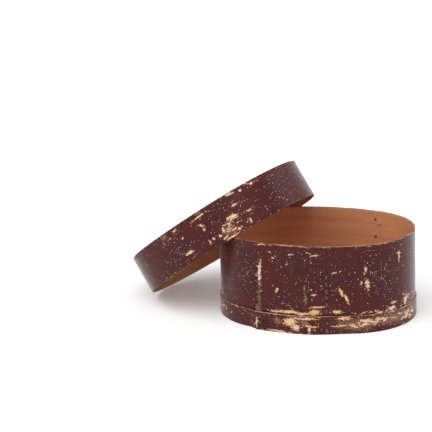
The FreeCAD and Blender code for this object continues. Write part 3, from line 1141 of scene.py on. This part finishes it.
def lid_top_wear():
    """Wear of the lid's top, with places along it and across it from its middle."""
    def on_top(place, side):
        return place

    chips = (
        ("long scratch", 35, -28, 60, 2.2, 24),
        ("short scratch", -50, 30, 28, 2, -38),
        ("chip at the high edge", 139, 12, 6, 24),
        ("chip at the low edge", -138, -20, 6, 30, 6),
        ("chip at the front edge", 20, -105, 34, 5),
        ("chip at the back edge", -40, 105.5, 26, 5),
        ("patch", -82, -34, 14, 9, 30),
        ("spot", 70, 48, 7, 6),
        ("next spot", 88, -50, 5, 6),
    )
    rubs = (
        ("middle", -18, 12, 50, 14, 12),
        ("high end", 120, 4, 20, 60),
        ("low end", -120, -12, 16, 50),
    )
    areas = (
        ("middle", 0, 0, 170, 110, 8, 0.08),
        ("high end", 135, 0, 50, 140, 0, 0.14),
        ("low end", -138, 0, 50, 150, 0, 0.14),
        ("front edge", 0, -108, 200, 30, 0, 0.13),
        ("back edge", 20, 108, 180, 30, 0, 0.12),
    )
    return Wear(
        marks(on_top, chips),
        marks(on_top, rubs),
        marks(on_top, areas),
        speckle=0.3,
    )


class BENTWOOD_OT_body_band(bpy.types.Operator):
    """Bends the body's board round the oval, lapped on itself at the front"""

    bl_idname = "bentwood.body_band"
    bl_label = "Body band"

    def execute(self, context):
        body = settings().body
        bend = lapped_bend(body_oval(), body.wall)
        corner = (body.corner_length, body.corner_depth)
        board = bent_board("body_band_dressed", bend, body, seed=1, corner=corner)
        outside = painted("painted_body", body_wear(bend.at))
        inside = bare_wood("inside_of_body", marks(bend.at, (), (("knot", 80, 112, 8, 4),)))
        edge = worn_edge("worn_rim", share=0.52)
        dress(board, (outside, inside, edge), "box", "painted_band", "body_band")
        return {"FINISHED"}


class BENTWOOD_OT_base_hoop(bpy.types.Operator):
    """Bends the hoop round the foot, over the body's lap and its own"""

    bl_idname = "bentwood.base_hoop"
    bl_label = "Base hoop"

    def execute(self, context):
        bend = hoop_bend()
        board = bent_board("base_hoop_dressed", bend, settings().hoop, seed=2)
        outside = painted("painted_hoop", hoop_wear(bend.at))
        inside = bare_wood("inside_of_hoop")
        edge = worn_edge("worn_hoop_edge", share=0.68)
        dress(board, (outside, inside, edge), "box", "painted_hoop", "base_hoop")
        return {"FINISHED"}


class BENTWOOD_OT_base_board(bpy.types.Operator):
    """Sets the oval base board into the foot of the body"""

    bl_idname = "bentwood.base_board"
    bl_label = "Base board"

    def execute(self, context):
        body = settings().body
        board = oval_board("base_board_dressed", body_oval(), body.wall, 0, body.base)
        wood = bare_wood("floor_of_box")
        dress(board, (wood, wood, wood), "box", "bare_board", "base_board")
        return {"FINISHED"}


class BENTWOOD_OT_lid_rim(bpy.types.Operator):
    """Bends the lid's rim, lapped at the back"""

    bl_idname = "bentwood.lid_rim"
    bl_label = "Lid rim"

    def execute(self, context):
        lid = settings().lid
        bend = lapped_bend(lid_oval(), lid.wall)
        place = lid_place() @ HALF_TURN
        board = bent_board("lid_rim_dressed", bend, lid, seed=3, place=place, rim_up=False)
        outside = painted("painted_lid_rim", lid_wear(lambda place, side: bend.at(-place, -side)))
        inside = bare_wood("inside_of_lid")
        edge = worn_edge("worn_lid_edge", share=0.52)
        dress(board, (outside, inside, edge), "lid", "painted_rim", "lid_rim")
        return {"FINISHED"}


class BENTWOOD_OT_lid_board(bpy.types.Operator):
    """Sets the lid's oval board into its rim"""

    bl_idname = "bentwood.lid_board"
    bl_label = "Lid board"

    def execute(self, context):
        lid = settings().lid
        bottom = lid.height - lid.board
        board = oval_board("lid_board_dressed", lid_inner_oval(), 0, bottom, lid.board, lid_place())
        outside = painted("painted_lid_board", lid_top_wear())
        inside = bare_wood("inside_of_lid_board")
        dress(board, (outside, inside, inside), "lid", "painted_board", "lid_board")
        return {"FINISHED"}


class BENTWOOD_OT_lacing(bpy.types.Operator):
    """Laces the laps of the body, the hoop and the lid"""

    bl_idname = "bentwood.lacing"
    bl_label = "Lacing"

    def execute(self, context):
        body = settings().body
        lid = settings().lid
        lacing = settings().lacing
        self.half = lacing.pitch / 2
        self.reach = self.half + lacing.thickness
        self.stitch = self.model_stitch(lacing)
        band = lapped_bend(body_oval(), body.wall)
        rim = lapped_bend(lid_oval(), lid.wall)
        end_row = self.row(band, lacing.end_place, -body.wall, lacing.end_span)
        inner_row = self.row(band, lacing.inner_place, -body.wall, lacing.inner_span)
        inner_row += self.row(hoop_bend(), lacing.inner_place, -body.wall, lacing.hoop_span)
        lid_rows = self.row(rim, lacing.end_place, -lid.wall, lacing.lid_span)
        lid_rows += self.row(rim, lacing.lid_inner_place, -lid.wall, lacing.lid_span)

        plain = lacing_finish("lacing")
        worn = lacing_finish("worn_lacing", lacing.bare_height, lacing.bare_reach)
        self.lace("lap_end_lacing", end_row, Matrix(), worn, "box")
        self.lace("lap_inner_lacing", inner_row, Matrix(), plain, "box")
        self.lace("lid_lacing", lid_rows, lid_place() @ HALF_TURN, plain, "lid")
        bpy.data.objects.remove(self.stitch)
        return {"FINISHED"}

    def model_stitch(self, lacing):
        """One stitch as it shows, a strip that rounds over from slit to slit. Its middle is on the wood."""
        start_fresh()
        bpy.ops.mesh.primitive_cube_add(size=2, location=(0, 0, 0))
        piece = bpy.context.object
        bpy.ops.object.mode_set(mode="EDIT")
        bpy.ops.mesh.select_all(action="SELECT")
        bpy.ops.mesh.subdivide(number_cuts=5)
        bpy.ops.object.mode_set(mode="OBJECT")
        size = Vector((lacing.width / 2, self.reach / 2, lacing.crown))
        crown = piece.data.attributes.new(CROWN, "FLOAT", "POINT")
        squareness = 3.4
        for vertex in piece.data.vertices:
            place = vertex.co
            place /= sum(abs(value) ** squareness for value in place) ** (1 / squareness)
            crown.data[vertex.index].value = max(0.0, place.z)
            vertex.co = place * size
        return piece

    def row(self, bend, place, inside, span):
        """Matrices of the stitches of a row, outside and inside the wall by turns."""
        turn = bend.oval.turn_at(place)
        along = Vector((math.cos(turn), math.sin(turn), 0))
        outward = Vector((math.sin(turn), -math.cos(turn), 0))
        matrices = []
        for index in range(int((span[1] - span[0]) / self.half)):
            side = 1 if index % 2 == 0 else -1
            offset = bend.outside_level(place) if side > 0 else inside
            height = span[0] + index * self.half + self.reach / 2
            axes = Matrix((along * side, Z_AXIS, outward * side)).transposed()
            middle = bend.oval.facing(turn, offset) + Z_AXIS * height
            matrices.append(Matrix.Translation(middle) @ axes.to_4x4())
        return matrices

    def lace(self, node, matrices, whole, finish, body):
        copies = []
        for matrix in matrices:
            copy = self.stitch.copy()
            copy.data = self.stitch.data.copy()
            copy.data.transform(matrix)
            bpy.context.collection.objects.link(copy)
            copies.append(copy)
        only(copies[0])
        for copy in copies:
            copy.select_set(True)
        bpy.ops.object.join()
        piece = bpy.context.object
        rename(piece, node + "_dressed")
        set_down(piece, whole)
        dress(piece, (finish,), body, "lacing", node)


class BENTWOOD_OT_fastenings(bpy.types.Operator):
    """Finishes the pegs and the tacks"""

    bl_idname = "bentwood.fastenings"
    bl_label = "Pegs and tacks"

    def execute(self, context):
        pegs = peg_finish("pegs")
        iron = iron_finish("iron")
        finishes = {"base_pegs": pegs, "lid_pegs": pegs, "wall_tacks": iron, "hoop_tacks": iron}
        for name, finish in finishes.items():
            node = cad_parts[name]
            node.data.materials.clear()
            node.data.materials.append(finish)
        return {"FINISHED"}


class BENTWOOD_OT_stage(bpy.types.Operator):
    """Lays the floor, hangs the lamps and sets up the camera"""

    bl_idname = "bentwood.stage"
    bl_label = "Stage"

    def execute(self, context):
        stage = settings().stage
        self.floor(stage)
        self.lamp("softbox", stage.softbox, stage.softbox_angle, SOFTBOX_WAY)
        self.lamp("side_light", stage.side_light, stage.side_light_angle, SIDE_LIGHT_WAY)
        self.walls(stage)
        self.camera(stage)
        context.scene.view_settings.view_transform = "Standard"
        return {"FINISHED"}

    def floor(self, stage):
        start_fresh()
        bpy.ops.mesh.primitive_plane_add(size=stage.floor_side)
        floor = bpy.context.object
        floor.name = "floor"
        recipe = Recipe("floor")
        shader = recipe.shader
        finish = {"Base Color": settings().colours.floor, "Roughness": 0.9, "Specular IOR Level": 0.1}
        for name, value in finish.items():
            recipe.set(shader.inputs[name], value)
        glow = recipe.node("ShaderNodeEmission", {"Color": (1, 1, 1)})
        recipe.set(glow.inputs["Strength"], recipe.math("MULTIPLY", recipe.seen(), stage.glow))
        total = recipe.node("ShaderNodeAddShader", {0: shader.outputs[0], 1: glow.outputs[0]})
        recipe.set(recipe.find("OUTPUT_MATERIAL").inputs["Surface"], total.outputs[0])
        floor.data.materials.append(recipe.material)

    def lamp(self, name, strength, breadth, direction):
        data = bpy.data.lights.new(name, "SUN")
        data.energy = strength
        data.angle = breadth
        lamp = bpy.data.objects.new(name, data)
        lamp.rotation_euler = direction.to_track_quat("-Z", "Y").to_euler()
        bpy.context.collection.objects.link(lamp)

    def walls(self, stage):
        """White walls all round, which light the box less than they show."""
        world = bpy.data.worlds.new("studio")
        bpy.context.scene.world = world
        world.use_nodes = True
        nodes = Nodes(world.node_tree)
        inputs = {"Value": nodes.seen(), "To Min": stage.fill, "To Max": 1.0}
        strength = nodes.node("ShaderNodeMapRange", inputs)
        backdrop = nodes.find("BACKGROUND").inputs
        nodes.set(backdrop["Color"], (1, 1, 1))
        nodes.set(backdrop["Strength"], strength.outputs["Result"])

    def camera(self, stage):
        sine, cosine = math.sin(stage.azimuth), math.cos(stage.azimuth)
        rise = math.cos(stage.elevation)
        back = Vector((sine * rise, -cosine * rise, math.sin(stage.elevation)))
        right = Vector((cosine, sine, 0))
        target = right * stage.aside + Z_AXIS * stage.target_height
        data = bpy.data.cameras.new("camera")
        data.lens = stage.lens
        camera = bpy.data.objects.new("camera", data)
        bpy.context.collection.objects.link(camera)
        camera.location = target + back * stage.distance
        turn = (-back).to_track_quat("-Z", "Y").to_matrix().to_4x4()
        turn = turn @ Matrix.Rotation(stage.roll, 4, "Z")
        camera.rotation_euler = turn.to_euler()
        bpy.context.scene.camera = camera


OPERATORS = (
    BENTWOOD_OT_body_band,
    BENTWOOD_OT_base_hoop,
    BENTWOOD_OT_base_board,
    BENTWOOD_OT_lid_rim,
    BENTWOOD_OT_lid_board,
    BENTWOOD_OT_lacing,
    BENTWOOD_OT_fastenings,
    BENTWOOD_OT_stage,
)


class BENTWOOD_PT_panel(bpy.types.Panel):
    """Steps of the box in the order of making"""

    bl_idname = "BENTWOOD_PT_panel"
    bl_label = "Bentwood box"
    bl_space_type = "VIEW_3D"
    bl_region_type = "UI"
    bl_category = "Bentwood box"

    def draw(self, context):
        for operator in OPERATORS:
            self.layout.operator(operator.bl_idname)


CLASSES = (
    BodySizes,
    HoopSizes,
    LidSizes,
    LacingSizes,
    Colours,
    StageSettings,
    BentwoodSettings,
    *OPERATORS,
    BENTWOOD_PT_panel,
)


def register():
    for item in CLASSES:
        bpy.utils.register_class(item)
    bpy.types.Scene.bentwood = PointerProperty(type=BentwoodSettings)


def unregister():
    del bpy.types.Scene.bentwood
    for item in reversed(CLASSES):
        bpy.utils.unregister_class(item)


def main():
    register()
    bpy.ops.bentwood.body_band()
    bpy.ops.bentwood.base_hoop()
    bpy.ops.bentwood.base_board()
    bpy.ops.bentwood.lid_rim()
    bpy.ops.bentwood.lid_board()
    bpy.ops.bentwood.lacing()
    bpy.ops.bentwood.fastenings()
    bpy.ops.bentwood.stage()


if __name__ == "__main__":
    main()
